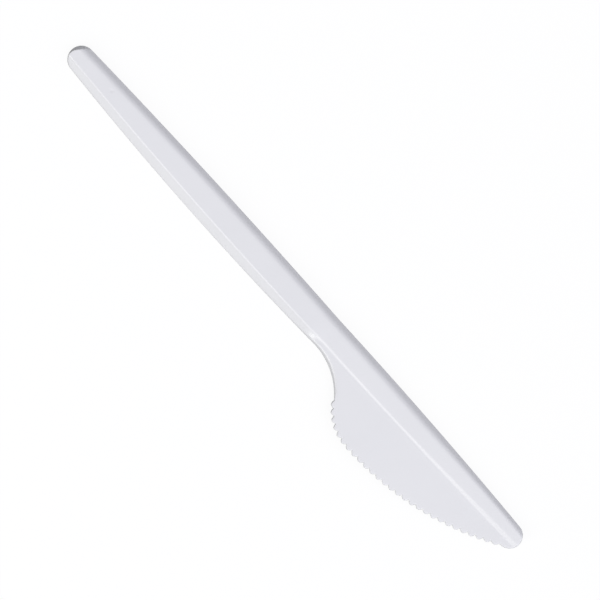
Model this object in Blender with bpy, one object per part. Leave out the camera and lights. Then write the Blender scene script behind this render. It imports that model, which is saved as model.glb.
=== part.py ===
"""Disposable table knife, moulded in one piece in white polystyrene.

The handle is a channel, open underneath. Its flat roof runs on along the back of the blade as a raised
band, and a small step leads from the band down to the thin blade plate with its row of teeth. The knife
lies on its rims, underside down. X runs from the end of the handle to the tip, Y towards the back of the
blade, Z up. Lengths are in metres.

The body is worked out as a mould maker would: the plan outline, extruded, is met by the swept top form,
and a core is taken out of it from below.
"""

import math

import bmesh
import bpy
import numpy as np

# Plan of the handle
HANDLE_LENGTH = 0.1075  # end of the handle to the first tooth
END_RADIUS = 0.0035  # round end of the handle
END_Y = 0.0006  # centre of the round end, from the datum line
NECK_TOP_Y = 0.0039  # back edge at the neck
NECK_WIDTH = 0.00865
BACK_BOW = 0.0005  # how far the handle's back edge bulges
FRONT_BOW = 0.00113  # how far the handle's front edge bulges
NECK_RADIUS = 0.018  # hollow curve between the handle and the teeth

# Plan of the blade
BLADE_LENGTH = 0.0575  # first tooth to the tip
TIP_RADIUS = 0.0033
TIP_Y = -0.00125  # centre of the round tip
BLADE_BOW = 0.00042  # how far the back of the blade bulges
BELLY_DEPTH = 0.0165  # deepest tooth, below the datum line
BELLY_LEAD = 0.0027  # from the end of the heel's arc to the deepest point
HEEL_RADIUS = 0.0135
HEEL_TURN = math.radians(52.0)  # angle that the heel's arc turns through
HEEL_TEETH = 6
BELLY_TEETH = 22
TOOTH_DEPTH = 0.00055
TOOTH_STEPS = 6  # straight lengths in the rounded edge of one tooth

# Crease between the roof and the front shoulder, which runs on along the blade
CREASE_END_DROP = 0.00155  # below the centre of the round end
CREASE_NECK_DROP = 0.00665  # below the back edge at the neck
CREASE_TIP_DROP = 0.0008  # below the centre of the tip
CREASE_BOW = 0.0007
CREASE_BLADE_BOW = 0.00037

# Heights
END_HEIGHT = 0.0027
NECK_HEIGHT = 0.0030
TIP_HEIGHT = 0.0020
HEIGHT_BOW = 0.0001
LIP_HEIGHT = 0.0004  # least height of the upright part of the front wall
BLADE_ROOF_FALL = 0.0002  # how much lower the band is at its crease than at the back

# Shoulders and step
BACK_SHOULDER_WIDTH = 0.00225
BACK_SHOULDER_TIP_WIDTH = 0.00155
BACK_SHOULDER_RADIUS = 0.0020
BACK_SHOULDER_ANGLE = math.radians(56.0)
FRONT_SHOULDER_RADIUS = 0.0016
FRONT_SHOULDER_ANGLE = math.radians(48.0)
STEP_WIDTH = 0.0012
STEP_DEPTH = 0.0003
PLATE_FALL = 0.01  # slope of the plate, down towards the teeth
NECK_BLEND = 0.012  # length over which the front shoulder turns into the plate

# Walls
WALL = 0.0012  # roof, shoulders and root of the blade plate
EDGE_THICKNESS = 0.0006  # blade plate at the teeth
RIM_WIDTH = 0.0009  # flat rim that the knife lies on
CORE_DRAFT = 0.0003  # how much narrower the channel is at its top than at the rim
END_DRAFT = math.radians(13.0)
NECK_DRAFT = math.radians(12.0)
NECK_DRAFT_LEAD = 0.006  # length over which the neck's draft grows
SIDE_DRAFT = math.radians(2.0)

# Finish
SURFACE_COLOUR = (0.78, 0.785, 0.82, 1.0)
SURFACE_ROUGHNESS = 0.28

# Working values of the construction, none of them a size of the knife
OVERSHOOT = 0.002  # how far the forms reach past what they cut
CORE_DIP = 0.00005  # how far the core reaches below the rims
LEAST_STEP = 0.00003  # least distance between neighbouring points of a section
LEAST_HALF_WIDTH = 0.0004  # half width of the core at its round end


LENGTH = HANDLE_LENGTH + BLADE_LENGTH
TIP_X = LENGTH - TIP_RADIUS
NECK_FRONT_Y = NECK_TOP_Y - NECK_WIDTH


def smooth(t):
    """Ease from 0 to 1."""
    t = np.clip(t, 0.0, 1.0)
    return t * t * (3.0 - 2.0 * t)


def bowed(x, start, end, bow):
    """Height of a shallow arc over the line from start to end, bulging by bow at its middle."""
    u = (x - start[0]) / (end[0] - start[0])
    return start[1] + (end[1] - start[1]) * u + 4.0 * bow * u * (1.0 - u)


def arc(centre, radius, first, last, count):
    """Points along a circle, by angle from +X."""
    angles = np.linspace(first, last, count)
    return np.stack([centre[0] + radius * np.cos(angles), centre[1] + radius * np.sin(angles)], axis=1)


def belly_circle():
    """Circle that the tooth tips of the belly lie on: level at its deepest point, and led to the tip."""
    end_y = TIP_Y - TIP_RADIUS - TOOTH_DEPTH
    run = TIP_X - belly_x()
    rise = end_y + BELLY_DEPTH
    radius = (run * run + rise * rise) / (2.0 * rise)
    return (belly_x(), radius - BELLY_DEPTH), radius


def belly_x():
    """Place of the deepest tooth along the knife."""
    return HANDLE_LENGTH + BELLY_LEAD + (HEEL_RADIUS - TOOTH_DEPTH) * math.sin(HEEL_TURN)


def heel_circle():
    """Circle of the heel, which touches the belly's circle where the belly starts."""
    (belly_cx, belly_cy), belly_radius = belly_circle()
    lead = math.asin(BELLY_LEAD / belly_radius)
    inset = belly_radius - HEEL_RADIUS
    return (belly_cx - inset * math.sin(lead), belly_cy - inset * math.cos(lead)), HEEL_RADIUS, lead


def tooth_start():
    """Corner between the neck and the first tooth."""
    (cx, cy), radius, lead = heel_circle()
    angle = -math.pi / 2.0 - lead - HEEL_TURN
    root = radius - TOOTH_DEPTH
    return cx + root * math.cos(angle), cy + root * math.sin(angle)


def neck_x():
    """Where the hollow curve of the neck leaves the front edge of the handle."""
    corner_x, corner_y = tooth_start()
    drop = NECK_FRONT_Y - corner_y
    return corner_x - math.sqrt(NECK_RADIUS**2 - (NECK_RADIUS - drop) ** 2)


def back_edge(x):
    """Y of the back edge: a bulging handle and a bulging blade that meet softly at the neck."""
    neck = (neck_x(), NECK_TOP_Y)
    handle = bowed(x, (END_RADIUS, END_Y + END_RADIUS), neck, BACK_BOW)
    blade = bowed(x, neck, (TIP_X, TIP_Y + TIP_RADIUS), BLADE_BOW)
    return np.maximum(handle, blade)


def handle_front(x):
    """Y of the front edge of the handle, and of the line that the neck leaves it from."""
    edge = bowed(x, (END_RADIUS, END_Y - END_RADIUS), (neck_x(), NECK_FRONT_Y), -FRONT_BOW)
    return np.where(x < neck_x(), edge, NECK_FRONT_Y)


def front_edge(x):
    """Y of the front edge: handle, hollow neck, heel and belly, through the tips of the teeth."""
    past_neck = np.clip(x - neck_x(), 0.0, NECK_RADIUS)
    neck = handle_front(x) - NECK_RADIUS + np.sqrt(NECK_RADIUS**2 - past_neck**2)
    (heel_cx, heel_cy), heel_radius, _ = heel_circle()
    (belly_cx, belly_cy), belly_radius = belly_circle()
    heel = heel_cy - np.sqrt(np.maximum(heel_radius**2 - (x - heel_cx) ** 2, 0.0))
    belly = belly_cy - np.sqrt(np.maximum(belly_radius**2 - (x - belly_cx) ** 2, 0.0))
    teeth = np.where(x < belly_cx - BELLY_LEAD, heel, belly)
    return np.where(x < tooth_start()[0], neck, teeth)


def crease_line(x):
    """Y of the middle of the crease."""
    neck = (neck_x(), NECK_TOP_Y - CREASE_NECK_DROP)
    handle = bowed(x, (END_RADIUS, END_Y - CREASE_END_DROP), neck, -CREASE_BOW)
    blade = bowed(x, neck, (TIP_X, TIP_Y - CREASE_TIP_DROP), -CREASE_BLADE_BOW)
    return np.where(x < neck[0], handle, blade)


def roof_height(x):
    """Height of the roof at its back."""
    handle = bowed(x, (0.0, END_HEIGHT), (neck_x(), NECK_HEIGHT), HEIGHT_BOW)
    blade = bowed(x, (neck_x(), NECK_HEIGHT), (LENGTH, TIP_HEIGHT), HEIGHT_BOW)
    return np.where(x < neck_x(), handle, blade)


def tooth_line():
    """Plan points of the teeth, from the neck to the tip: each tooth is one lobe between two gullets."""
    (heel_cx, heel_cy), heel_radius, lead = heel_circle()
    (belly_cx, belly_cy), belly_radius = belly_circle()
    down = -math.pi / 2.0
    last = math.asin((TIP_X - belly_cx) / belly_radius)
    phase = np.linspace(0.0, 1.0, TOOTH_STEPS, endpoint=False)
    points = []
    for centre, radius, first, end, count in (
        ((heel_cx, heel_cy), heel_radius, down - lead - HEEL_TURN, down - lead, HEEL_TEETH),
        ((belly_cx, belly_cy), belly_radius, down - lead, down + last, BELLY_TEETH),
    ):
        for tooth in range(count):
            turn = first + (end - first) * (tooth + phase) / count
            reach = radius - TOOTH_DEPTH * (1.0 - np.sin(np.pi * phase))
            points.append(np.stack([centre[0] + reach * np.cos(turn), centre[1] + reach * np.sin(turn)], axis=1))
    return np.concatenate(points)


def outline():
    """Closed plan outline, anticlockwise, and the draft of the wall at each of its points."""
    corner_x = tooth_start()[0]
    handle_x = np.linspace(END_RADIUS, neck_x(), 30)[1:-1]
    neck_run = np.linspace(neck_x(), corner_x, 14, endpoint=False)
    back_x = np.linspace(TIP_X, END_RADIUS, 56)[1:-1]
    round_end = arc((END_RADIUS, END_Y), END_RADIUS, math.pi / 2.0, 1.5 * math.pi, 25)
    end_fade = smooth(2.0 - 2.0 * np.abs(np.linspace(-1.0, 1.0, len(round_end))))
    neck_fade = smooth((neck_run - neck_x()) / NECK_DRAFT_LEAD)
    stretches = (
        (round_end, SIDE_DRAFT + (END_DRAFT - SIDE_DRAFT) * end_fade),
        (np.stack([handle_x, front_edge(handle_x)], axis=1), SIDE_DRAFT),
        (np.stack([neck_run, front_edge(neck_run)], axis=1), SIDE_DRAFT + (NECK_DRAFT - SIDE_DRAFT) * neck_fade),
        (tooth_line(), 0.0),
        (arc((TIP_X, TIP_Y), TIP_RADIUS, -math.pi / 2.0, math.pi / 2.0, 17), SIDE_DRAFT),
        (np.stack([back_x, back_edge(back_x)], axis=1), SIDE_DRAFT),
    )
    plan = np.concatenate([points for points, _ in stretches])
    draft = np.concatenate([np.full(len(points), 1.0) * angle for points, angle in stretches])
    return plan, draft


def inward(plan):
    """Unit vectors that point into a closed anticlockwise outline."""
    along = np.roll(plan, -1, axis=0) - np.roll(plan, 1, axis=0)
    normal = np.stack([-along[:, 1], along[:, 0]], axis=1)
    return normal / np.linalg.norm(normal, axis=1, keepdims=True)


def top_section(x):
    """Section of the top form at one place along the knife, from the back to the front: y and z."""
    roof = float(roof_height(x))
    back = float(back_edge(x))
    crease = float(crease_line(x))
    to_blade = float(smooth((x - neck_x() + OVERSHOOT) / NECK_BLEND))
    narrowing = float(smooth((x - belly_x()) / (TIP_X - belly_x())))
    width = BACK_SHOULDER_WIDTH + (BACK_SHOULDER_TIP_WIDTH - BACK_SHOULDER_WIDTH) * narrowing

    tilt = np.linspace(BACK_SHOULDER_ANGLE, 0.0, 6)
    back_y = back - width + BACK_SHOULDER_RADIUS * np.sin(tilt)
    back_z = roof - BACK_SHOULDER_RADIUS * (1.0 - np.cos(tilt))
    out = 2.0 * OVERSHOOT
    back_y = np.concatenate([[back_y[0] + out], back_y])
    back_z = np.concatenate([[back_z[0] - out * math.tan(BACK_SHOULDER_ANGLE)], back_z])

    round_width = FRONT_SHOULDER_RADIUS * math.sin(FRONT_SHOULDER_ANGLE)
    start = crease + round_width / 2.0
    low_roof = roof - BLADE_ROOF_FALL * to_blade
    round_drop = FRONT_SHOULDER_RADIUS * (1.0 - math.cos(FRONT_SHOULDER_ANGLE))
    foot = round_width + (low_roof - round_drop - LIP_HEIGHT) / math.tan(FRONT_SHOULDER_ANGLE)
    far = start + BELLY_DEPTH + OVERSHOOT
    away = np.concatenate([np.linspace(0.0, round_width, 6), [foot, (foot + far) / 2.0, far]])
    lean = np.arcsin(np.clip(away / FRONT_SHOULDER_RADIUS, 0.0, math.sin(FRONT_SHOULDER_ANGLE)))
    slope = math.tan(FRONT_SHOULDER_ANGLE) * np.maximum(away - round_width, 0.0)
    shoulder = np.maximum(low_roof - FRONT_SHOULDER_RADIUS * (1.0 - np.cos(lean)) - slope, LIP_HEIGHT)
    step = STEP_DEPTH * smooth(away / STEP_WIDTH)
    plate = low_roof - step - PLATE_FALL * np.maximum(away - STEP_WIDTH, 0.0)
    front_z = shoulder + (plate - shoulder) * to_blade
    return np.concatenate([back_y, start - away]), np.concatenate([back_z, front_z])


def thickness(x, y):
    """Wall thickness under a point of the top form: the blade plate thins towards its teeth."""
    to_blade = smooth((x - neck_x() + OVERSHOOT) / NECK_BLEND)
    crease = crease_line(x) - STEP_WIDTH
    share = np.clip((crease - y) / (crease - front_edge(x)), 0.0, 1.0)
    return WALL + (EDGE_THICKNESS - WALL) * share * to_blade


def underside(x, at_y):
    """Height of the inner surface at one place along the knife, for any y."""
    y, z = top_section(x)
    along = np.stack([np.gradient(y), np.gradient(z)])
    along /= np.linalg.norm(along, axis=0)
    depth = thickness(x, y)
    inner_y = y + depth * -along[1]
    inner_z = z + depth * along[0]
    order = np.argsort(inner_y)
    return np.interp(at_y, inner_y[order], inner_z[order])


def inset_back(x, inset):
    """Y of the back edge moved in by inset, around the two round ends as well."""
    if x < END_RADIUS:
        return END_Y + math.sqrt(max((END_RADIUS - inset) ** 2 - (END_RADIUS - x) ** 2, 0.0))
    if x > TIP_X:
        return TIP_Y + math.sqrt(max((TIP_RADIUS - inset) ** 2 - (x - TIP_X) ** 2, 0.0))
    return float(back_edge(x)) - inset


def inset_front(x, inset):
    """Y of the front edge moved in by inset, square to the edge."""
    if x < END_RADIUS:
        return END_Y - math.sqrt(max((END_RADIUS - inset) ** 2 - (END_RADIUS - x) ** 2, 0.0))
    past_neck = min(max(x - neck_x(), 0.0), tooth_start()[0] - neck_x())
    return float(front_edge(x)) + inset * NECK_RADIUS / math.sqrt(NECK_RADIUS**2 - past_neck**2)


def core_section(x):
    """Section of the core: the channel of the handle, which opens under the blade."""
    top_inset = RIM_WIDTH + CORE_DRAFT
    back_rim, back_top = inset_back(x, RIM_WIDTH), inset_back(x, top_inset)
    front_rim, front_top = inset_front(x, RIM_WIDTH), inset_front(x, top_inset)
    far = -BELLY_DEPTH - 2.0 * OVERSHOOT

    feature_y, _ = top_section(x)
    inner = feature_y[2:-2]
    count = len(inner)
    steps = np.arange(1, count + 1) * LEAST_STEP
    inner = np.minimum(inner, back_top - steps)
    inner = np.maximum(inner, front_top + steps[::-1])
    y = np.concatenate([[back_top], inner, [front_top]])
    z = underside(x, y)

    past_neck = min(max((x - neck_x()) / (tooth_start()[0] - neck_x()), 0.0), 1.0)
    opening = 1.0 - math.cos(math.pi / 2.0 * past_neck)
    rim_z, far_z = opening * underside(x, [front_rim, far]) - (1.0 - opening) * CORE_DIP
    ring_y = np.concatenate([[back_rim], y, [front_rim, far, far]])
    ring_z = np.concatenate([[-CORE_DIP], z, [rim_z, far_z, -OVERSHOOT]])
    return np.stack([np.full(len(ring_y), x), ring_y, ring_z], axis=1)


def stations(first, last):
    """Places of the sections: close together at the ends and in the neck."""
    neck, corner = neck_x(), tooth_start()[0]
    return np.concatenate([
        np.linspace(first, first + 2.0 * END_RADIUS, 14, endpoint=False),
        np.linspace(first + 2.0 * END_RADIUS, neck - OVERSHOOT, 20, endpoint=False),
        np.linspace(neck - OVERSHOOT, corner, 26, endpoint=False),
        np.linspace(corner, TIP_X, 20, endpoint=False),
        np.linspace(TIP_X, last, 8),
    ])


def loft(name, rings):
    """Closed solid through a row of rings with the same number of points: a face drawn out ring by ring."""
    bm = bmesh.new()
    face = bm.faces.new([bm.verts.new(point) for point in rings[0]])
    first = list(face.verts)
    for ring in rings[1:]:
        face = bmesh.ops.extrude_discrete_faces(bm, faces=[face])["faces"][0]
        for vert, point in zip(face.verts, ring):
            vert.co = point
    bm.faces.new(first[::-1])
    return finish(name, bm)


def finish(name, bm):
    """Turn the faces outwards and put the mesh into the scene."""
    bmesh.ops.recalc_face_normals(bm, faces=bm.faces)
    mesh = bpy.data.meshes.new(name)
    bm.to_mesh(mesh)
    bm.free()
    solid = bpy.data.objects.new(name, mesh)
    bpy.context.collection.objects.link(solid)
    return solid


def guide(solid):
    """Mark a solid as one that only shapes another."""
    solid.hide_render = True
    solid.display_type = "WIRE"
    return solid


def outline_solid():
    """Plan outline extruded upwards from the rims, with its walls leaning in by their draft."""
    plan, draft = outline()
    height = NECK_HEIGHT + OVERSHOOT
    top = plan + inward(plan) * (height * np.tan(draft))[:, None]
    rings = [np.column_stack([ring, np.full(len(ring), z)]) for ring, z in ((plan, 0.0), (top, height))]
    return loft("knife", rings)


def top_form():
    """Everything under the swept top surface."""
    rings = []
    for x in stations(-OVERSHOOT, LENGTH + OVERSHOOT):
        y, z = top_section(x)
        bottom = -2.0 * NECK_HEIGHT - 2.0 * OVERSHOOT
        ring_y = np.concatenate([[y[0]], y, [y[-1]]])
        ring_z = np.concatenate([[bottom], z, [bottom]])
        rings.append(np.stack([np.full(len(ring_y), x), ring_y, ring_z], axis=1))
    return guide(loft("top_form", rings))


def core():
    """Channel under the handle and open space under the blade."""
    top_inset = RIM_WIDTH + CORE_DRAFT
    end_reach = math.sqrt((END_RADIUS - top_inset) ** 2 - LEAST_HALF_WIDTH**2)
    tip_reach = math.sqrt((TIP_RADIUS - top_inset) ** 2 - LEAST_HALF_WIDTH**2)
    places = stations(END_RADIUS - end_reach, TIP_X + tip_reach)
    return guide(loft("core", [core_section(x) for x in places]))


def combine(target, tool, operation):
    """Meet or cut one solid with another, which from then on goes where the first one goes."""
    tool.parent = target
    step = target.modifiers.new(tool.name, "BOOLEAN")
    step.operation = operation
    step.solver = "EXACT"
    step.object = tool


def plastic():
    """White glossy polystyrene."""
    material = bpy.data.materials.new("white_polystyrene")
    material.use_nodes = True
    shader = material.node_tree.nodes["Principled BSDF"]
    shader.inputs["Base Color"].default_value = SURFACE_COLOUR
    shader.inputs["Roughness"].default_value = SURFACE_ROUGHNESS
    shader.inputs["Metallic"].default_value = 0.0
    return material


def centre(solid):
    """Put the middle of the knife's plan over the origin, with its rims at Z = 0."""
    back = back_edge(np.linspace(END_RADIUS, TIP_X, 400)).max()
    solid.location = (-LENGTH / 2.0, -(back - BELLY_DEPTH) / 2.0, 0.0)


def main():
    """Build the knife."""
    for old in list(bpy.data.objects):
        bpy.data.objects.remove(old, do_unlink=True)
    knife = outline_solid()
    combine(knife, top_form(), "INTERSECT")
    combine(knife, core(), "DIFFERENCE")
    centre(knife)
    knife.data.materials.append(plastic())
    knife.data.shade_smooth()
    knife.data.set_sharp_from_angle(angle=math.radians(30.0))


main()
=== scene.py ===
"""White disposable table knife, lying on its rims and seen from straight above.

The knife is one moulding. Its skin is worked out as rings that follow the outline, from the top over the
edge and the rim to the inside, and as rows that cross the knife between the innermost rings. Lengths are
in metres. Plan coordinates run from the end of the handle at x = 0, with y towards the back of the blade,
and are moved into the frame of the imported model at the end.
"""

from __future__ import annotations

import logging
import math
from dataclasses import dataclass, field

import bpy
import numpy as np
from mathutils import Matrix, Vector


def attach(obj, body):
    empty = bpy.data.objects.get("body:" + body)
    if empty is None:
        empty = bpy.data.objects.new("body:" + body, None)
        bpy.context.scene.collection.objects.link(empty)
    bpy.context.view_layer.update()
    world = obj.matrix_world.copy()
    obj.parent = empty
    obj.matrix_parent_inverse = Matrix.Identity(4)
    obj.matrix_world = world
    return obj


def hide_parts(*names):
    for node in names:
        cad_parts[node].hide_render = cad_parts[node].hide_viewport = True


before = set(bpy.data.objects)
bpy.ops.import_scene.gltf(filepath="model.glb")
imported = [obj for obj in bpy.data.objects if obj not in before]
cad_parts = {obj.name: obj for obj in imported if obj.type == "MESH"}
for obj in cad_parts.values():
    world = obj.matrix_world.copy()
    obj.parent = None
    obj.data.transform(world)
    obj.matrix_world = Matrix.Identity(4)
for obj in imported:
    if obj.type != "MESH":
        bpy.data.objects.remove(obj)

log = logging.getLogger("table_knife")

# small lengths that keep a division from being by zero
LEAST_LENGTH = 1e-9
LEAST_ROW = 1e-6
WHITE = (1.0, 1.0, 1.0, 1.0)


def smooth(t: np.ndarray) -> np.ndarray:
    """Ease from 0 to 1 as 3t² - 2t³.

    Args:
        t: share of the way, held between 0 and 1.

    Returns:
        The eased share.
    """
    t = np.clip(t, 0.0, 1.0)
    return t * t * (3.0 - 2.0 * t)


def mixed(first: np.ndarray | float, last: np.ndarray | float, share: np.ndarray | float) -> np.ndarray:
    """Value that lies a share of the way from the first to the last: first + (last - first)·share.

    Args:
        first: value at a share of 0.
        last: value at a share of 1.
        share: the share, one number or one for each place.

    Returns:
        The value at each place.
    """
    return first + (last - first) * share


def bowed(x: np.ndarray, start: tuple[float, float], end: tuple[float, float], bow: float) -> np.ndarray:
    """Shallow arc over a straight line: the line's height plus 4·bow·u·(1 - u), with u the share along it.

    Args:
        x: places along the knife.
        start: first point of the line.
        end: last point of the line.
        bow: bulge at the middle.

    Returns:
        Heights of the arc at those places.
    """
    u = (x - start[0]) / (end[0] - start[0])
    return mixed(start[1], end[1], u) + 4.0 * bow * u * (1.0 - u)


@dataclass(frozen=True)
class KnifePlan:
    """Outline of the knife seen from above."""

    handle_length: float = 0.1075
    end_radius: float = 0.0035
    end_y: float = 0.0006
    neck_top_y: float = 0.0039
    neck_width: float = 0.00865
    back_bow: float = 0.0005
    front_bow: float = 0.00113
    neck_radius: float = 0.018
    blade_length: float = 0.0575
    tip_radius: float = 0.0033
    tip_y: float = -0.00125
    blade_bow: float = 0.00042
    belly_depth: float = 0.0165
    belly_lead: float = 0.0027
    heel_radius: float = 0.0135
    heel_turn: float = math.radians(52.0)
    heel_teeth: int = 6
    belly_teeth: int = 22
    tooth_depth: float = 0.00055
    crease_end_drop: float = 0.00155
    crease_neck_drop: float = 0.00665
    crease_tip_drop: float = 0.0008
    crease_bow: float = 0.0007
    crease_blade_bow: float = 0.00037

    @property
    def length(self) -> float:
        """Whole length of the knife."""
        return self.handle_length + self.blade_length

    @property
    def tip_x(self) -> float:
        """Centre of the round tip along the knife."""
        return self.length - self.tip_radius

    @property
    def neck_front_y(self) -> float:
        """Front edge where the neck starts."""
        return self.neck_top_y - self.neck_width

    @property
    def belly_x(self) -> float:
        """Deepest place of the belly along the knife."""
        heel_root = self.heel_radius - self.tooth_depth
        return self.handle_length + self.belly_lead + heel_root * math.sin(self.heel_turn)

    @property
    def belly_circle(self) -> tuple[float, float, float]:
        """Centre and radius of the circle through the tooth tips: level at its lowest, and led to the tip."""
        run = self.tip_x - self.belly_x
        rise = self.tip_y - self.tip_radius - self.tooth_depth + self.belly_depth
        radius = (run * run + rise * rise) / (2.0 * rise)
        return self.belly_x, radius - self.belly_depth, radius

    @property
    def heel_circle(self) -> tuple[float, float, float, float]:
        """Centre, radius and lead angle of the heel's circle, which touches the belly's circle."""
        belly_x, belly_y, belly_radius = self.belly_circle
        lead = math.asin(self.belly_lead / belly_radius)
        inset = belly_radius - self.heel_radius
        return belly_x - inset * math.sin(lead), belly_y - inset * math.cos(lead), self.heel_radius, lead

    @property
    def tooth_start(self) -> tuple[float, float]:
        """Corner between the neck and the first tooth."""
        x, y, radius, lead = self.heel_circle
        angle = -math.pi / 2.0 - lead - self.heel_turn
        root = radius - self.tooth_depth
        return x + root * math.cos(angle), y + root * math.sin(angle)

    @property
    def neck_x(self) -> float:
        """Where the hollow curve of the neck leaves the front edge."""
        corner_x, corner_y = self.tooth_start
        drop = self.neck_front_y - corner_y
        return corner_x - math.sqrt(self.neck_radius**2 - (self.neck_radius - drop) ** 2)

    def back_edge(self, x: np.ndarray) -> np.ndarray:
        """Back edge: the higher of two shallow arcs, one over the handle and one over the blade.

        Args:
            x: places along the knife.

        Returns:
            Heights of the edge in plan.
        """
        neck = (self.neck_x, self.neck_top_y)
        handle = bowed(x, (self.end_radius, self.end_y + self.end_radius), neck, self.back_bow)
        blade = bowed(x, neck, (self.tip_x, self.tip_y + self.tip_radius), self.blade_bow)
        return np.maximum(handle, blade)

    def handle_front(self, x: np.ndarray) -> np.ndarray:
        """Front edge of the handle, one shallow arc.

        Args:
            x: places along the knife.

        Returns:
            Heights of the edge in plan.
        """
        start = (self.end_radius, self.end_y - self.end_radius)
        return bowed(x, start, (self.neck_x, self.neck_front_y), -self.front_bow)

    def teeth_line(self, x: np.ndarray) -> np.ndarray:
        """Circles through the tooth tips, as one height for each place: the heel's, then the belly's.

        Args:
            x: places along the knife.

        Returns:
            Heights in plan.
        """
        heel_x, heel_y, heel_radius, _ = self.heel_circle
        belly_x, belly_y, belly_radius = self.belly_circle
        heel = heel_y - np.sqrt(np.maximum(heel_radius**2 - (x - heel_x) ** 2, 0.0))
        belly = belly_y - np.sqrt(np.maximum(belly_radius**2 - (x - belly_x) ** 2, 0.0))
        return np.where(x < belly_x - self.belly_lead, heel, belly)

    def crease(self, x: np.ndarray) -> np.ndarray:
        """Middle of the crease between the roof and the front shoulder, two shallow arcs end to end.

        Args:
            x: places along the knife.

        Returns:
            Heights of the crease in plan.
        """
        neck = (self.neck_x, self.neck_top_y - self.crease_neck_drop)
        handle = bowed(x, (self.end_radius, self.end_y - self.crease_end_drop), neck, -self.crease_bow)
        blade = bowed(x, neck, (self.tip_x, self.tip_y - self.crease_tip_drop), -self.crease_blade_bow)
        return np.where(x < neck[0], handle, blade)


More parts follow.
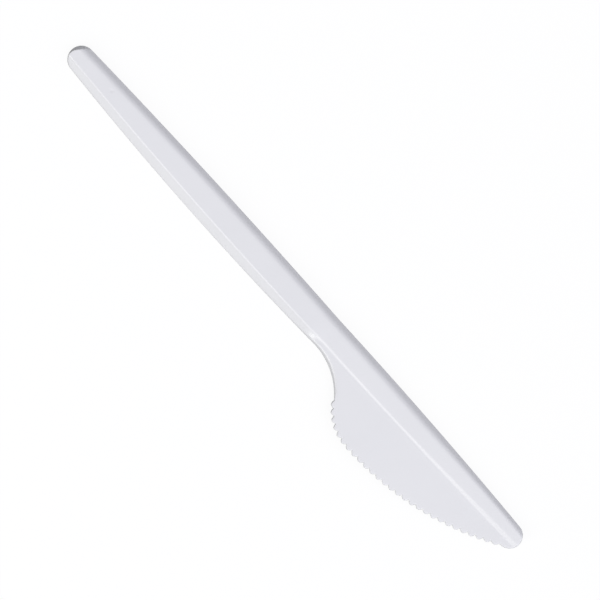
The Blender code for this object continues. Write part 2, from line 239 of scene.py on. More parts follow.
@dataclass(frozen=True)
class KnifeForm:
    """Heights of the moulding over its plan: roof, shoulders, step, blade plate and wall thickness."""

    plan: KnifePlan = field(default_factory=KnifePlan)
    end_height: float = 0.0027
    neck_height: float = 0.0030
    tip_height: float = 0.0020
    height_bow: float = 0.00009
    lip_height: float = 0.0004
    blade_roof_fall: float = 0.0002
    back_width: float = 0.0024
    back_tip_width: float = 0.0015
    back_radius: float = 0.0018
    back_tip_radius: float = 0.0010
    back_angle: float = math.radians(58.0)
    front_radius: float = 0.00055
    front_end_radius: float = 0.0003
    front_end_reach: float = 0.035
    least_radius: float = 0.0001
    front_angle: float = math.radians(48.0)
    step_width: float = 0.0009
    step_tip_width: float = 0.0015
    step_depth: float = 0.0003
    step_tip_depth: float = 0.0007
    plate_fall: float = 0.01
    neck_blend: float = 0.007
    neck_lead: float = 0.0055
    wall: float = 0.0012
    edge_thickness: float = 0.0006

    def roof(self, x: np.ndarray) -> np.ndarray:
        """Height of the roof at its back edge, two shallow arcs end to end.

        Args:
            x: places along the knife.

        Returns:
            Heights above the rims.
        """
        plan = self.plan
        handle = bowed(x, (0.0, self.end_height), (plan.neck_x, self.neck_height), self.height_bow)
        blade = bowed(x, (plan.neck_x, self.neck_height), (plan.length, self.tip_height), self.height_bow)
        return np.where(x < plan.neck_x, handle, blade)

    def blade_share(self, x: np.ndarray) -> np.ndarray:
        """Share by which the section is the blade's: eased from 0 before the neck to 1 after it.

        Args:
            x: places along the knife.

        Returns:
            The share at each place.
        """
        return smooth((x - self.plan.neck_x + self.neck_lead) / self.neck_blend)

    def narrowing(self, x: np.ndarray) -> np.ndarray:
        """Share of the way from the belly to the tip, eased."""
        return smooth((x - self.plan.belly_x) / (self.plan.tip_x - self.plan.belly_x))

    def roof_back(self, x: np.ndarray) -> np.ndarray:
        """Line where the roof turns down into the back shoulder, which narrows towards the tip.

        Args:
            x: places along the knife.

        Returns:
            Its height in plan.
        """
        return self.plan.back_edge(x) - mixed(self.back_width, self.back_tip_width, self.narrowing(x))

    def roof_front(self, x: np.ndarray) -> np.ndarray:
        """Line where the roof turns down into the crease.

        Args:
            x: places along the knife.

        Returns:
            Its height in plan.
        """
        return self.plan.crease(x) + self.crease_width(x) / 2.0

    def step(self, x: np.ndarray) -> np.ndarray:
        """Width of the blade's step, which changes towards the tip."""
        return mixed(self.step_width, self.step_tip_width, self.narrowing(x))

    def bend(self, x: np.ndarray) -> np.ndarray:
        """Radius of the handle's front crease, which is tighter towards the handle's end."""
        return mixed(self.front_end_radius, self.front_radius, smooth(x / self.front_end_reach))

    def crease_width(self, x: np.ndarray) -> np.ndarray:
        """Width of the crease: the handle's rounding, blended by the blade share into the step's."""
        return mixed(self.bend(x) * math.sin(self.front_angle), self.step(x), self.blade_share(x))

    def surface(self, x: np.ndarray, y: np.ndarray, depth: np.ndarray) -> np.ndarray:
        """Height of the skin, or of the surface that lies depth under it.

        The roof runs between its two lines, and on the blade falls a little towards the front one. Behind
        it the back shoulder falls. In front the height is a blend, by the blade share, of the handle's front
        shoulder, held at the lip or higher, and of the blade's step and plate. Under the skin each radius is
        shorter by the depth, about the same centre, and is held at the least radius or more.

        Args:
            x: places along the knife.
            y: heights in plan.
            depth: depth below the skin, 0 for the skin itself.

        Returns:
            Heights above the rims.
        """
        roof = self.roof(x) - depth
        back_line = self.roof_back(x)
        front_line = self.roof_front(x)
        share = self.blade_share(x)
        low_roof = roof - self.blade_roof_fall * share
        across = np.clip((y - front_line) / (back_line - front_line), 0.0, 1.0)
        flat = mixed(low_roof, roof, across)

        behind = np.maximum(y - back_line, 0.0)
        narrowing = self.narrowing(x)
        back_radius = mixed(self.back_radius, self.back_tip_radius, narrowing)
        back = self._falling(behind, back_radius, self.back_angle, depth)

        away = np.maximum(front_line - y, 0.0)
        shoulder = low_roof - self._falling(away, self.bend(x), self.front_angle, depth)
        shoulder = np.maximum(shoulder, self.lip_height - depth)
        step = self.step(x)
        plate = low_roof - mixed(self.step_depth, self.step_tip_depth, narrowing) * smooth(away / step)
        plate = plate - self.plate_fall * np.maximum(away - step, 0.0)
        return np.where(y < front_line, mixed(shoulder, plate, share), flat - back)

    def _falling(self, away: np.ndarray, radius: np.ndarray, angle: float, depth: np.ndarray) -> np.ndarray:
        """Fall of a shoulder at a depth: arc of radius - depth, then a straight line at the angle.

        With r that radius, the arc falls by r·(1 - cos(lean)), where sin(lean) is the distance over r.

        Args:
            away: distance past the roof's line, 0 or more.
            radius: radius at the skin.
            angle: lean of the straight part.
            depth: depth below the skin.

        Returns:
            How far the surface lies below the roof's own at that depth.
        """
        inner = np.maximum(radius - depth, self.least_radius)
        lean = np.arcsin(np.clip(away / inner, 0.0, math.sin(angle)))
        straight = np.maximum(away - inner * math.sin(angle), 0.0)
        return inner * (1.0 - np.cos(lean)) + math.tan(angle) * straight

    def thickness(self, x: np.ndarray, y: np.ndarray) -> np.ndarray:
        """Wall thickness, which falls in a straight line across the blade plate to its edge.

        Args:
            x: places along the knife.
            y: heights in plan.

        Returns:
            Thickness at each point.
        """
        crease = self.plan.crease(x) - self.step_width
        edge = self.plan.teeth_line(np.clip(x, self.plan.tooth_start[0], self.plan.tip_x))
        across = np.clip((crease - y) / np.maximum(crease - edge, self.step_width), 0.0, 1.0)
        return mixed(self.wall, self.edge_thickness, across * self.blade_share(x))

    def top(self, plan: np.ndarray) -> np.ndarray:
        """Height of the skin at plan points."""
        return self.surface(plan[..., 0], plan[..., 1], np.zeros(plan.shape[:-1]))

    def under(self, plan: np.ndarray) -> np.ndarray:
        """Height of the inner surface at plan points, never below the rims."""
        x, y = plan[..., 0], plan[..., 1]
        return np.maximum(self.surface(x, y, self.thickness(x, y)), 0.0)


@dataclass
class EdgeLine:
    """One side of the outline, from the handle's end to the tip, and how the moulding is made there.

    Attributes:
        points: plan points, on the tooth tips' circles where there are teeth.
        inward: direction square to the edge, into the knife.
        draft: lean of the wall.
        notch: depth of the notch between the teeth.
        kept: the part of the notch that doesn't fade further in.
        opening: 1 where the blade is open below the plate, 0 where the wall stands on the table.
        band: distance from the edge to the innermost ring.
        rounding: how far from the wall's top corner its rounding starts.
        notch_reach: distance from the edge over which the notches fade.
    """

    points: np.ndarray
    inward: np.ndarray
    draft: np.ndarray
    notch: np.ndarray
    kept: np.ndarray
    opening: np.ndarray
    band: np.ndarray
    rounding: np.ndarray
    notch_reach: float = 0.0016

    def inset(self, distance: np.ndarray) -> np.ndarray:
        """Points moved in square to the edge. The notches fade over their reach, down to the kept part.

        Args:
            distance: distance in from the edge, one for each point.

        Returns:
            Plan points.
        """
        fade = 1.0 - smooth(distance / self.notch_reach)
        notch = mixed(self.kept, self.notch, fade)
        return self.points + self.inward * (distance + notch)[:, None]


@dataclass
class KnifeMoulding:
    """The whole knife as one closed skin: handle, neck, back flange, blade plate and teeth."""

    form: KnifeForm = field(default_factory=KnifeForm)
    # points along the outline, in each tooth, and lines across the knife
    end_steps: int = 22
    handle_steps: int = 170
    neck_steps: int = 44
    tooth_steps: int = 14
    tip_steps: int = 22
    plate_steps: int = 8
    crease_steps: int = 10
    roof_steps: int = 5
    shoulder_steps: int = 7
    least_share: float = 0.012
    edge_samples: int = 400
    # lean of the walls
    end_draft: float = math.radians(20.0)
    end_rise: float = math.radians(14.0)
    end_fall: float = math.radians(80.0)
    end_stop: float = math.radians(222.0)
    neck_draft: float = math.radians(15.0)
    tooth_draft: float = math.radians(20.0)
    tip_draft: float = math.radians(6.0)
    side_draft: float = math.radians(2.0)
    lip_draft: float = math.radians(12.0)
    neck_draft_lead: float = 0.006
    wall_rounds: int = 6
    # bands along the edge, where the rings follow the outline
    handle_band: float = 0.0013
    blade_band: float = 0.0020
    neck_band_rise: float = 0.0012
    back_band: float = 0.0010
    round_end_reach: float = 0.008
    tip_change: float = 2.0
    band_shares: tuple[float, ...] = (1.0, 0.86, 0.73, 0.61, 0.5)
    # teeth and the open underside of the blade
    notch_gain: float = 0.4
    last_teeth: int = 2
    corner_teeth: int = 3
    closing_start: float = 0.35
    closing_run: float = 0.35
    # rounding of the edges
    edge_rounding: float = 0.00016
    lip_rounding: float = 0.0004
    neck_rounding: float = 0.0006
    neck_rounding_run: float = 0.25
    tooth_rounding: float = 0.00012
    tooth_rounding_run: float = 0.15
    rim_rounding: float = 0.00008
    channel_rounding: float = 0.00035
    channel_reach: float = 1.6
    rounding_steps: int = 4
    most_before: float = 0.8
    most_after: float = 0.45
    # rim and channel
    rim_width: float = 0.0009
    core_draft: float = 0.0003
    sharp_angle: float = math.radians(38.0)

    def front_line(self) -> EdgeLine:
        """Front side: quarter circle, shallow arc, hollow neck, heel and belly with teeth, quarter circle.

        Returns:
            The edge line through the tips of the teeth, with the notches between them as a depth.
        """
        plan = self.form.plan
        turn = np.linspace(math.pi, 1.5 * math.pi, self.end_steps, endpoint=False)
        end_normal = np.stack([-np.cos(turn), -np.sin(turn)], axis=1)
        end = np.array([plan.end_radius, plan.end_y]) - end_normal * plan.end_radius

        x = np.linspace(plan.end_radius, plan.neck_x, self.handle_steps, endpoint=False)
        handle = np.stack([x, plan.handle_front(x)], axis=1)
        slope = np.gradient(handle[:, 1], x)
        handle_normal = np.stack([-slope, np.ones_like(x)], axis=1) / np.hypot(slope, 1.0)[:, None]

        corner = plan.tooth_start
        hollow = np.array([plan.neck_x, plan.neck_front_y - plan.neck_radius])
        last = math.atan2(corner[1] - hollow[1], corner[0] - hollow[0])
        turn = np.linspace(math.pi / 2.0, last, self.neck_steps, endpoint=False)
        neck_normal = np.stack([np.cos(turn), np.sin(turn)], axis=1)
        neck = hollow + plan.neck_radius * neck_normal

        teeth, teeth_normal, notch = self._teeth()

        turn = np.linspace(-math.pi / 2.0, 0.0, self.tip_steps)
        tip_normal = np.stack([-np.cos(turn), -np.sin(turn)], axis=1)
        tip = np.array([plan.tip_x, plan.tip_y]) - tip_normal * plan.tip_radius

        sizes = [len(end), len(handle), len(neck), len(teeth), len(tip)]
        end_share = self.end_share(np.linspace(math.pi, 1.5 * math.pi, len(end)))
        to_lip = smooth(np.linspace(0.0, 1.0, len(end)))
        neck_fade = smooth((neck[:, 0] - plan.neck_x) / self.neck_draft_lead)
        past_neck = (neck[:, 0] - plan.neck_x) / (corner[0] - plan.neck_x)
        near_corner = smooth((past_neck - 1.0 + self.tooth_rounding_run) / self.tooth_rounding_run)
        corner_share = 1.0 - smooth(np.arange(len(teeth)) / (self.corner_teeth * self.tooth_steps))
        along_tip = np.linspace(0.0, 1.0, len(tip))
        closing = 1.0 - smooth((along_tip - self.closing_start) / self.closing_run)
        to_plain = smooth(along_tip * self.tip_change)

        def spread(*values: np.ndarray | float) -> np.ndarray:
            """One value for each point, from one value or array for each stretch."""
            return np.concatenate([np.full(n, 1.0) * v for n, v in zip(sizes, values)])

        side, lip = self.side_draft, self.lip_draft
        neck_rise = self.neck_band_rise * np.sin(math.pi * past_neck)
        fuller = smooth(past_neck / self.neck_rounding_run)
        neck_rounding = mixed(self.lip_rounding, self.neck_rounding, fuller)
        return EdgeLine(
            points=np.concatenate([end, handle, neck, teeth, tip]),
            inward=np.concatenate([end_normal, handle_normal, neck_normal, teeth_normal, tip_normal]),
            draft=spread(
                mixed(side, self.end_draft, end_share) + (lip - side) * to_lip,
                lip,
                mixed(lip, self.neck_draft, neck_fade),
                self.tooth_draft,
                mixed(self.tooth_draft, self.tip_draft, smooth(along_tip)),
            ),
            notch=spread(0.0, 0.0, 0.0, notch, 0.0),
            kept=spread(0.0, 0.0, 0.0, plan.tooth_depth * corner_share, 0.0),
            opening=spread(0.0, 0.0, 1.0 - np.cos(math.pi / 2.0 * past_neck), 1.0, closing),
            band=spread(
                self.handle_band,
                self.handle_band,
                mixed(self.handle_band, self.blade_band, smooth(past_neck)) + neck_rise,
                self.blade_band,
                mixed(self.blade_band, self.handle_band, to_plain),
            ),
            rounding=spread(
                mixed(self.edge_rounding, self.lip_rounding, to_lip),
                self.lip_rounding,
                neck_rounding + (self.tooth_rounding - self.neck_rounding) * near_corner,
                self.tooth_rounding,
                mixed(self.tooth_rounding, self.edge_rounding, to_plain),
            ),
        )

    def end_share(self, turn: np.ndarray) -> np.ndarray:
        """Share of the end's draft in a plan direction: it rises from the back side and fades to the front.

        Args:
            turn: directions in plan, from a quarter turn at the back to three quarters at the front.

        Returns:
            The share, 1 where the end wall leans most.
        """
        return smooth((turn - math.pi / 2.0) / self.end_rise) * smooth((self.end_stop - turn) / self.end_fall)

    def _teeth(self) -> tuple[np.ndarray, np.ndarray, np.ndarray]:
        """Tooth tips' circles and the notch at each point: depth·(1 - sin(pi·phase)) within each tooth.

        The notches are deeper by the gain, which rises over the first teeth and falls over the last.

        Returns:
            Points on the circles, their inward directions, and the notch depths.
        """
        plan = self.form.plan
        heel_x, heel_y, heel_radius, lead = plan.heel_circle
        belly_x, belly_y, belly_radius = plan.belly_circle
        down = -math.pi / 2.0
        end = down + math.asin((plan.tip_x - belly_x) / belly_radius)
        points, normals, notches = [], [], []
        for centre, radius, first, last, count in (
            ((heel_x, heel_y), heel_radius, down - lead - plan.heel_turn, down - lead, plan.heel_teeth),
            ((belly_x, belly_y), belly_radius, down - lead, end, plan.belly_teeth),
        ):
            steps = np.arange(count * self.tooth_steps)
            turn = first + (last - first) * steps / len(steps)
            phase = steps % self.tooth_steps / self.tooth_steps
            normal = np.stack([-np.cos(turn), -np.sin(turn)], axis=1)
            points.append(np.array(centre) - normal * radius)
            normals.append(normal)
            notches.append(plan.tooth_depth * (1.0 - np.sin(np.pi * phase)))
        teeth = plan.heel_teeth + plan.belly_teeth
        tooth = np.arange(teeth * self.tooth_steps) / self.tooth_steps
        rising, falling = smooth(tooth / self.corner_teeth), smooth((teeth - tooth) / self.last_teeth)
        deeper = 1.0 + self.notch_gain * rising * falling
        return np.concatenate(points), np.concatenate(normals), np.concatenate(notches) * deeper

    def back_line(self, front: EdgeLine) -> EdgeLine:
        """Back side: one point opposite each point of the front side.

        Around the two round ends the angles mirror the front's. Between them each point stands over the
        innermost ring of the front, so that the rows across the knife run square to it.

        Args:
            front: the finished front side.

        Returns:
            The back side's edge line.
        """
        plan = self.form.plan
        count = len(front.points)
        middle = slice(self.end_steps, count - self.tip_steps)
        inner_x = front.inset(front.band)[middle, 0]
        x = np.clip(inner_x, plan.end_radius, plan.tip_x)
        y = plan.back_edge(x)
        slope = np.gradient(y, x)
        normal = np.stack([slope, -np.ones_like(x)], axis=1) / np.hypot(slope, 1.0)[:, None]

        mirror = np.array([1.0, -1.0])
        points = np.empty_like(front.points)
        inward = front.inward * mirror
        round_end, round_tip = slice(0, self.end_steps), slice(count - self.tip_steps, count)
        for centre_y, part in ((plan.end_y, round_end), (plan.tip_y, round_tip)):
            points[part] = (front.points[part] - [0.0, centre_y]) * mirror + [0.0, centre_y]
        points[middle] = np.stack([x, y], axis=1)
        inward[middle] = normal

        place = np.arange(count)
        end_turn = math.pi - math.pi / 2.0 * np.clip(place / self.end_steps, 0.0, 1.0)
        near_tip = smooth((place - count + 1.0 + self.tip_steps) / self.tip_steps)
        from_end = np.minimum(points[:, 0], plan.length - points[:, 0])
        side, none = self.side_draft, np.zeros(count)
        return EdgeLine(
            points=points,
            inward=inward,
            draft=mixed(side, self.end_draft, self.end_share(end_turn)) + (self.tip_draft - side) * near_tip,
            notch=none,
            kept=none,
            opening=none,
            band=mixed(self.back_band, self.handle_band, smooth(1.0 - from_end / self.round_end_reach)),
            rounding=np.full(count, self.edge_rounding),
        )

    def loop(self, front: np.ndarray, back: np.ndarray) -> np.ndarray:
        """One ring, anticlockwise: the front from the handle's end to the tip, then the back to the end."""
        return np.concatenate([front, back[-2:0:-1]])

    def side_rings(self, side: EdgeLine) -> list[np.ndarray]:
        """Rings of one side, from the innermost ring on top to the innermost ring inside.

        The wall's foot follows the outline. It stands on the table or, where the blade is open below, on
        its underside. The top corner lies where the lean meets the skin, at an inset of
        (skin - foot)·tan(draft), which is found in a few rounds. The rim runs from the foot to the channel,
        and is wider where the channel would break through a low shoulder. Each corner is then rounded.

        Args:
            side: the edge line.

        Returns:
            Arrays of points in space, all with one point for each point of the edge line.
        """
        form = self.form

        def on_top(distance: np.ndarray) -> np.ndarray:
            """Points on the skin at a distance in from the edge."""
            plan = side.inset(distance)
            return np.column_stack([plan, form.top(plan)])

        base = side.inset(np.zeros(len(side.points)))
        foot_height = side.opening * form.under(base)
        foot = np.column_stack([base, foot_height])

        wall_inset = np.zeros(len(side.points))
        for _ in range(self.wall_rounds):
            wall_inset = (form.top(side.inset(wall_inset)) - foot_height) * np.tan(side.draft)
        top_corner = on_top(wall_inset)

        channel_plan = side.inset(np.full(len(side.points), self.rim_width + self.core_draft))
        missing = np.maximum(-form.surface(*channel_plan.T, form.thickness(*channel_plan.T)), 0.0)
        rim = self.rim_width + missing * (1.0 - side.opening) / math.tan(form.front_angle)
        rim_plan = side.inset(rim)
        rim_ring = np.column_stack([rim_plan, side.opening * form.under(rim_plan)])
        channel_plan = side.inset(rim + self.core_draft)
        channel = np.column_stack([channel_plan, form.under(channel_plan)])

        bands = [on_top(mixed(wall_inset, side.band, share)) for share in self.band_shares]
        low_rounding = np.full(len(side.points), self.rim_rounding)
        corner_rounding = np.full(len(side.points), self.channel_rounding)
        inner_plan = side.inset(rim + self.core_draft + self.channel_rounding * self.channel_reach)
        inner = np.column_stack([inner_plan, form.under(inner_plan)])
        return [
            *bands,
            *self.rounded(bands[-1], top_corner, foot, side.rounding),
            *self.rounded(top_corner, foot, rim_ring, low_rounding),
            *self.rounded(foot, rim_ring, channel, low_rounding),
            *self.rounded(rim_ring, channel, inner, corner_rounding),
            inner,
        ]

    def rounded(
        self, before: np.ndarray, corner: np.ndarray, after: np.ndarray, radius: np.ndarray
    ) -> list[np.ndarray]:
        """Rounding of a corner: the curve (1 - t)²·a + 2t(1 - t)·corner + t²·b between points a and b.

        Points a and b lie the radius away from the corner, but no more than a share of the way to its
        neighbours.

        Args:
            before: ring ahead of the corner.
            corner: ring of corners.
            after: ring behind the corner.
            radius: how far from the corner the rounding starts.

        Returns:
            The rings of the rounding.
        """
        to_before, to_after = before - corner, after - corner
        length_before = np.linalg.norm(to_before, axis=1) + LEAST_LENGTH
        length_after = np.linalg.norm(to_after, axis=1) + LEAST_LENGTH
        a = corner + to_before * np.minimum(radius / length_before, self.most_before)[:, None]
        b = corner + to_after * np.minimum(radius / length_after, self.most_after)[:, None]
        shares = np.linspace(0.0, 1.0, self.rounding_steps + 1)
        return [(1.0 - t) ** 2 * a + 2.0 * t * (1.0 - t) * corner + t * t * b for t in shares]

    def rows(self, front: np.ndarray, back: np.ndarray, lines: list[np.ndarray]) -> np.ndarray:
        """Points across the knife between two rings, on the lines of its form.

        Each row is straight in plan. A point stands where the row meets its line, and is held so far from
        its neighbours that none of them cross where a row is short.

        Args:
            front: plan points of the front ring.
            back: plan points of the back ring.
            lines: share of each row's way from front to back, one array for each line, rising.

        Returns:
            Plan points, rows by lines.
        """
        shares = np.stack(lines, axis=1)
        count = shares.shape[1]
        low = np.arange(1, count + 1) * self.least_share
        high = 1.0 - low[::-1]
        shares = np.maximum(np.minimum(shares, high), low)
        return front[:, None, :] + (back - front)[:, None, :] * shares[:, :, None]

    def line_share(self, front: np.ndarray, back: np.ndarray, height: np.ndarray) -> np.ndarray:
        """Share of each row's way at which it reaches a height in plan, between 0 and 1."""
        share = (height - front[:, 1]) / np.maximum(back[:, 1] - front[:, 1], LEAST_ROW)
        return np.clip(share, 0.0, 1.0)

    def spaced(self, start: np.ndarray | float, end: np.ndarray | float, steps: int) -> list[np.ndarray]:
        """Lines at even steps from one line to another, with both of them."""
        return [mixed(start, end, t) for t in np.linspace(0.0, 1.0, steps + 1)]

    def cross_lines(self, front: np.ndarray, back: np.ndarray) -> list[np.ndarray]:
        """Lines of the form across the knife, from the front ring to the back ring.

        They stand on the plate or lower shoulder, the crease, the roof and the back shoulder.

        Args:
            front: plan points of the front ring.
            back: plan points of the back ring.

        Returns:
            Share of each row's way, one array for each line.
        """
        form = self.form
        x = (front[:, 0] + back[:, 0]) / 2.0
        start = self.line_share(front, back, form.roof_front(x))
        foot = self.line_share(front, back, form.roof_front(x) - form.crease_width(x))
        roof_back = self.line_share(front, back, form.roof_back(x))
        plate = self.spaced(0.0, foot, self.plate_steps)[1:-1]
        crease = self.spaced(foot, start, self.crease_steps)
        roof = self.spaced(start, roof_back, self.roof_steps)[1:]
        shoulder = self.spaced(roof_back, 1.0, self.shoulder_steps)[1:-1]
        return plate + crease + roof + shoulder

    def sheet(
        self, ring: np.ndarray, plan: np.ndarray, height: np.ndarray, first: int
    ) -> tuple[np.ndarray, np.ndarray]:
        """Surface across the knife inside a ring of vertices.

        Args:
            ring: numbers of the ring's vertices, anticlockwise from the handle's end.
            plan: plan points, rows by lines.
            height: their heights.
            first: number that the first new vertex gets.

        Returns:
            The new vertices, and the grid of vertex numbers, rows by lines.
        """
        rows, lines = height.shape
        last = rows + 1
        grid = np.empty((rows + 2, lines + 2), dtype=int)
        grid[0, :] = ring[0]
        grid[last, :] = ring[last]
        grid[1:last, 0] = ring[1:last]
        grid[1:last, -1] = ring[-1 : -rows - 1 : -1]
        grid[1:last, 1:-1] = first + np.arange(rows * lines).reshape(rows, lines)
        points = np.concatenate([plan, height[:, :, None]], axis=2).reshape(-1, 3)
        return points, grid

    def build(self) -> bpy.types.Object:
        """Work out the skin and put it into a mesh.

        Returns:
            The knife's object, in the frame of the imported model.
        """
        form = self.form
        front = self.front_line()
        back = self.back_line(front)
        rings = [self.loop(f, b) for f, b in zip(self.side_rings(front), self.side_rings(back))]
        around = len(rings[0])
        count = len(front.points)
        verts = [np.concatenate(rings)]
        made = len(rings) * around

        numbers = np.arange(made).reshape(len(rings), around)
        ahead = np.roll(numbers, -1, axis=1)
        faces = [np.stack([numbers[1:], ahead[1:], ahead[:-1], numbers[:-1]], axis=-1).reshape(-1, 4)]

        for ring, height_of, upwards in ((0, form.top, True), (len(rings) - 1, form.under, False)):
            points = rings[ring]
            front_ring = points[1 : count - 1, :2]
            back_ring = points[-1 : -(count - 1) : -1, :2]
            plan = self.rows(front_ring, back_ring, self.cross_lines(front_ring, back_ring))
            new, grid = self.sheet(numbers[ring], plan, height_of(plan), made)
            quads = np.stack([grid[:-1, :-1], grid[1:, :-1], grid[1:, 1:], grid[:-1, 1:]], axis=-1)
            quads = quads.reshape(-1, 4)
            faces.append(quads if upwards else quads[:, ::-1])
            verts.append(new)
            made += len(new)

        points = np.concatenate(verts)
        points[:, 0] -= form.plan.length / 2.0
        points[:, 1] -= self.middle_y()
        quads = np.concatenate(faces)
        polygons = [list(dict.fromkeys(quad)) for quad in quads.tolist()]
        mesh = bpy.data.meshes.new("knife_moulding")
        mesh.from_pydata(points.tolist(), [], [p for p in polygons if len(p) > 2])
        mesh.validate()
        mesh.shade_smooth()
        mesh.set_sharp_from_angle(angle=self.sharp_angle)
        knife = bpy.data.objects.new("knife_moulding", mesh)
        bpy.context.scene.collection.objects.link(knife)
        return knife

    def middle_y(self) -> float:
        """Middle of the knife's width in plan coordinates."""
        plan = self.form.plan
        back = plan.back_edge(np.linspace(plan.end_radius, plan.tip_x, self.edge_samples)).max()
        return float(back - plan.belly_depth) / 2.0

    def dress(self, knife: bpy.types.Object, finish: Polystyrene) -> None:
        """Give the knife its finish and let it take the place of the plain solid.

        Args:
            knife: the object that build made.
            finish: the plastic.
        """
        knife.data.materials.append(finish.material())
        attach(knife, "root")
        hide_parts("knife")


@dataclass(frozen=True)
class Polystyrene:
    """Smooth white polystyrene with the faint waviness of a thin moulding."""

    colour: tuple[float, float, float] = (0.772, 0.773, 0.775)
    shade: tuple[float, float, float] = (0.747, 0.749, 0.757)
    roughness: float = 0.30
    roughness_spread: float = 0.06
    ior: float = 1.57
    cloud_scale: float = 60.0
    cloud_detail: float = 3.0
    wave_scale: float = 110.0
    wave_detail: float = 1.0
    wave_height: float = 0.0001
    grain_scale: float = 2600.0
    grain_detail: float = 2.0
    grain_height: float = 0.0000025
    sink_place: tuple[float, float, float] = (-0.0682, 0.0069, 0.0028)
    sink_radius: float = 0.0007
    sink_depth: float = 0.00006

    def material(self) -> bpy.types.Material:
        """Shader of the plastic: clouded colour, uneven gloss, waviness, grain and one sink mark.

        Returns:
            The material.
        """
        material = bpy.data.materials.new("white_polystyrene")
        material.use_nodes = True
        nodes, links = material.node_tree.nodes, material.node_tree.links
        shader = nodes["Principled BSDF"]
        shader.inputs["IOR"].default_value = self.ior
        place = nodes.new("ShaderNodeTexCoord").outputs["Object"]

        fields = []
        for scale, detail in (
            (self.cloud_scale, self.cloud_detail),
            (self.wave_scale, self.wave_detail),
            (self.grain_scale, self.grain_detail),
        ):
            noise = nodes.new("ShaderNodeTexNoise")
            noise.inputs["Scale"].default_value = scale
            noise.inputs["Detail"].default_value = detail
            links.new(place, noise.inputs["Vector"])
            fields.append(noise.outputs["Fac"])
        cloud, wave, grain = fields

        colour = nodes.new("ShaderNodeMix")
        colour.data_type = "RGBA"
        colour.inputs["A"].default_value = (*self.shade, 1.0)
        colour.inputs["B"].default_value = (*self.colour, 1.0)
        links.new(cloud, colour.inputs["Factor"])
        links.new(colour.outputs["Result"], shader.inputs["Base Color"])

        gloss = nodes.new("ShaderNodeMapRange")
        gloss.inputs["To Min"].default_value = self.roughness - self.roughness_spread
        gloss.inputs["To Max"].default_value = self.roughness + self.roughness_spread
        links.new(cloud, gloss.inputs["Value"])
        links.new(gloss.outputs["Result"], shader.inputs["Roughness"])

        sink = self._sink(nodes, links, place)
        normal = None
        depths = (self.wave_height, self.grain_height, self.sink_depth)
        for height, distance in zip((wave, grain, sink), depths):
            bump = nodes.new("ShaderNodeBump")
            bump.inputs["Distance"].default_value = distance
            links.new(height, bump.inputs["Height"])
            if normal:
                links.new(normal, bump.inputs["Normal"])
            normal = bump.outputs["Normal"]
        links.new(normal, shader.inputs["Normal"])
        return material

    def _sink(
        self, nodes: bpy.types.Nodes, links: bpy.types.NodeLinks, place: bpy.types.NodeSocket
    ) -> bpy.types.NodeSocket:
        """Shallow round dip near the end of the handle: height 1 beyond its radius, 0 at its middle.

        Args:
            nodes: the material's nodes.
            links: the material's links.
            place: the object coordinates.

        Returns:
            The height as a socket.
        """
        away = nodes.new("ShaderNodeVectorMath")
        away.operation = "DISTANCE"
        away.inputs[1].default_value = self.sink_place
        links.new(place, away.inputs[0])
        dip = nodes.new("ShaderNodeMapRange")
        dip.interpolation_type = "SMOOTHSTEP"
        dip.inputs["From Max"].default_value = self.sink_radius
        links.new(away.outputs["Value"], dip.inputs["Value"])
        return dip.outputs["Result"]


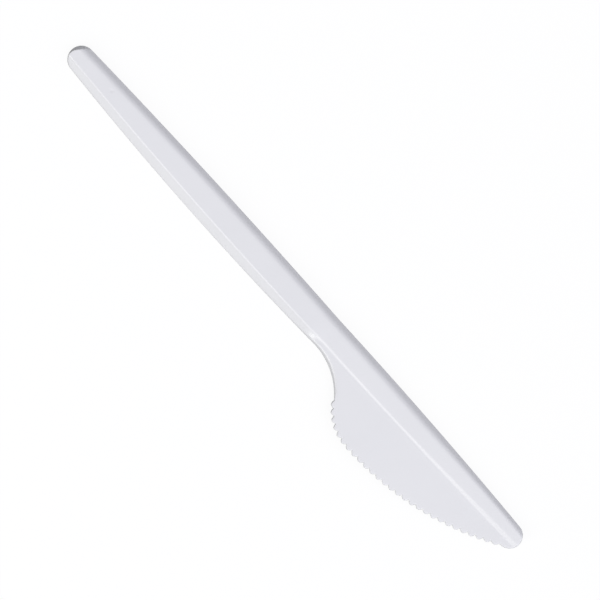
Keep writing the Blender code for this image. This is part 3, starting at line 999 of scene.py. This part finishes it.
@dataclass(frozen=True)
class PaleTable:
    """White table top under the knife.

    The camera sees it nearly white, with the knife's soft shadow on it. The light that it bounces is
    greyer, so that the knife's walls keep their tone.
    """

    half_width: float = 1.5
    gap: float = 0.00002
    colour: tuple[float, float, float] = (0.38, 0.38, 0.38)
    seen_colour: tuple[float, float, float] = (0.98, 0.98, 0.98)
    glow: float = 0.9
    mirrored_glow: float = 0.1
    roughness: float = 0.85

    def build(self) -> bpy.types.Object:
        """Make the table top as one flat face, a hair below the knife.

        Returns:
            The table's object.
        """
        signs = np.array([[-1.0, -1.0, 0.0], [1.0, -1.0, 0.0], [1.0, 1.0, 0.0], [-1.0, 1.0, 0.0]])
        corners = signs * self.half_width
        mesh = bpy.data.meshes.new("table_top")
        mesh.from_pydata(corners.tolist(), [], [[0, 1, 2, 3]])
        table = bpy.data.objects.new("table_top", mesh)
        table.location.z = -self.gap
        bpy.context.scene.collection.objects.link(table)
        mesh.materials.append(self.material())
        return table

    def material(self) -> bpy.types.Material:
        """Matte surface mixed with a white glow: glow share for the camera, a small one for gloss and glass.

        The rest of the share is the matte surface, which takes the knife's shadow.

        Returns:
            The material.
        """
        material = bpy.data.materials.new("pale_table")
        material.use_nodes = True
        nodes, links = material.node_tree.nodes, material.node_tree.links
        shader = nodes["Principled BSDF"]
        shader.inputs["Roughness"].default_value = self.roughness
        shader.inputs["Specular IOR Level"].default_value = 0.0
        glow = nodes.new("ShaderNodeEmission")
        glow.inputs["Strength"].default_value = 1.0
        rays = nodes.new("ShaderNodeLightPath")
        tone = nodes.new("ShaderNodeMix")
        tone.data_type = "RGBA"
        tone.inputs["A"].default_value = (*self.colour, 1.0)
        tone.inputs["B"].default_value = (*self.seen_colour, 1.0)
        links.new(rays.outputs["Is Camera Ray"], tone.inputs["Factor"])
        links.new(tone.outputs["Result"], shader.inputs["Base Color"])
        mirrored = nodes.new("ShaderNodeMath")
        mirrored.operation = "MAXIMUM"
        links.new(rays.outputs["Is Glossy Ray"], mirrored.inputs[0])
        links.new(rays.outputs["Is Transmission Ray"], mirrored.inputs[1])
        weaker = nodes.new("ShaderNodeMath")
        weaker.operation = "MULTIPLY"
        weaker.inputs[1].default_value = self.mirrored_glow
        links.new(mirrored.outputs["Value"], weaker.inputs[0])
        share = nodes.new("ShaderNodeMath")
        share.operation = "MULTIPLY_ADD"
        share.inputs[1].default_value = self.glow
        links.new(rays.outputs["Is Camera Ray"], share.inputs[0])
        links.new(weaker.outputs["Value"], share.inputs[2])
        mix = nodes.new("ShaderNodeMixShader")
        links.new(share.outputs["Value"], mix.inputs["Fac"])
        links.new(shader.outputs["BSDF"], mix.inputs[1])
        links.new(glow.outputs["Emission"], mix.inputs[2])
        links.new(mix.outputs["Shader"], nodes["Material Output"].inputs["Surface"])
        return material


@dataclass(frozen=True)
class Studio:
    """Camera straight above, one broad and slightly warm lamp, and a room that is brighter upwards."""

    view_centre: tuple[float, float] = (0.00131, 0.00608)
    view_width: float = 0.14836
    camera_height: float = 2.0
    nearest: float = 0.01
    furthest: float = 20.0
    turn: float = math.radians(47.34)
    sensor: float = 36.0
    lamp_lean: float = math.radians(60.0)
    lamp_turn: float = math.radians(-105.0)
    lamp_distance: float = 1.4
    lamp_size: float = 0.9
    lamp_power: float = 7.9
    room_turn: float = 0.0
    room_rise: float = 0.53
    room_start: float = -0.54
    room_dark: float = 0.06
    room_bright: float = 1.37
    room_colour: tuple[float, float, float] = (0.985, 0.985, 1.06)
    lamp_colour: tuple[float, float, float] = (1.0, 1.0, 0.95)

    def camera(self) -> bpy.types.Object:
        """Long lens looking straight down, turned so that the knife lies as in the picture.

        Returns:
            The camera, set as the scene's own.
        """
        data = bpy.data.cameras.new("camera")
        data.sensor_width = self.sensor
        data.lens = self.sensor * self.camera_height / self.view_width
        data.clip_start = self.nearest
        data.clip_end = self.furthest
        camera = bpy.data.objects.new("camera", data)
        camera.location = (*self.view_centre, self.camera_height)
        camera.rotation_euler = (0.0, 0.0, self.turn)
        bpy.context.scene.collection.objects.link(camera)
        bpy.context.scene.camera = camera
        return camera

    def lamp(self) -> bpy.types.Object:
        """Broad lamp aimed at the knife from its lean off the vertical.

        Returns:
            The lamp's object.
        """
        data = bpy.data.lights.new("soft_lamp", "AREA")
        data.shape = "DISK"
        data.size = self.lamp_size
        data.energy = self.lamp_power
        data.color = self.lamp_colour
        lamp = bpy.data.objects.new("soft_lamp", data)
        level = math.sin(self.lamp_lean)
        towards = Vector(
            (level * math.cos(self.lamp_turn), level * math.sin(self.lamp_turn), math.cos(self.lamp_lean))
        )
        lamp.location = towards * self.lamp_distance
        lamp.rotation_euler = (-towards).to_track_quat("-Z", "Y").to_euler()
        bpy.context.scene.collection.objects.link(lamp)
        return lamp

    def room(self) -> bpy.types.World:
        """Slightly blue room light that grows towards the blade's tip and upwards.

        The camera and glass see plain white instead.

        Returns:
            The world.
        """
        world = bpy.data.worlds.new("room")
        world.use_nodes = True
        nodes, links = world.node_tree.nodes, world.node_tree.links
        background = nodes["Background"]
        way = nodes.new("ShaderNodeTexCoord").outputs["Generated"]
        along = nodes.new("ShaderNodeVectorMath")
        along.operation = "DOT_PRODUCT"
        along.inputs[1].default_value = (math.cos(self.room_turn), math.sin(self.room_turn), self.room_rise)
        links.new(way, along.inputs[0])
        level = nodes.new("ShaderNodeMapRange")
        level.inputs["From Min"].default_value = self.room_start
        level.inputs["From Max"].default_value = 1.0
        level.inputs["To Min"].default_value = self.room_dark
        level.inputs["To Max"].default_value = self.room_bright
        links.new(along.outputs["Value"], level.inputs["Value"])
        rays = nodes.new("ShaderNodeLightPath")
        seen = nodes.new("ShaderNodeMath")
        seen.operation = "MAXIMUM"
        links.new(rays.outputs["Is Camera Ray"], seen.inputs[0])
        links.new(rays.outputs["Is Transmission Ray"], seen.inputs[1])
        strength = nodes.new("ShaderNodeMix")
        strength.inputs["B"].default_value = 1.0
        links.new(seen.outputs["Value"], strength.inputs["Factor"])
        links.new(level.outputs["Result"], strength.inputs["A"])
        links.new(strength.outputs["Result"], background.inputs["Strength"])
        colour = nodes.new("ShaderNodeMix")
        colour.data_type = "RGBA"
        colour.inputs["A"].default_value = (*self.room_colour, 1.0)
        colour.inputs["B"].default_value = WHITE
        links.new(seen.outputs["Value"], colour.inputs["Factor"])
        links.new(colour.outputs["Result"], background.inputs["Color"])
        bpy.context.scene.world = world
        return world


def main() -> None:
    """Build the knife, dress it and light it."""
    logging.basicConfig(level=logging.INFO, format="%(name)s: %(message)s")
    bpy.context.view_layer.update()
    moulding = KnifeMoulding()
    knife = moulding.build()
    moulding.dress(knife, Polystyrene())
    log.info("%s: %d faces", knife.name, len(knife.data.polygons))
    table = PaleTable().build()
    log.info("%s: stage", table.name)
    studio = Studio()
    studio.camera()
    studio.lamp()
    studio.room()
    bpy.context.scene.view_settings.view_transform = "Standard"
    bpy.context.view_layer.update()


if __name__ == "__main__":
    main()
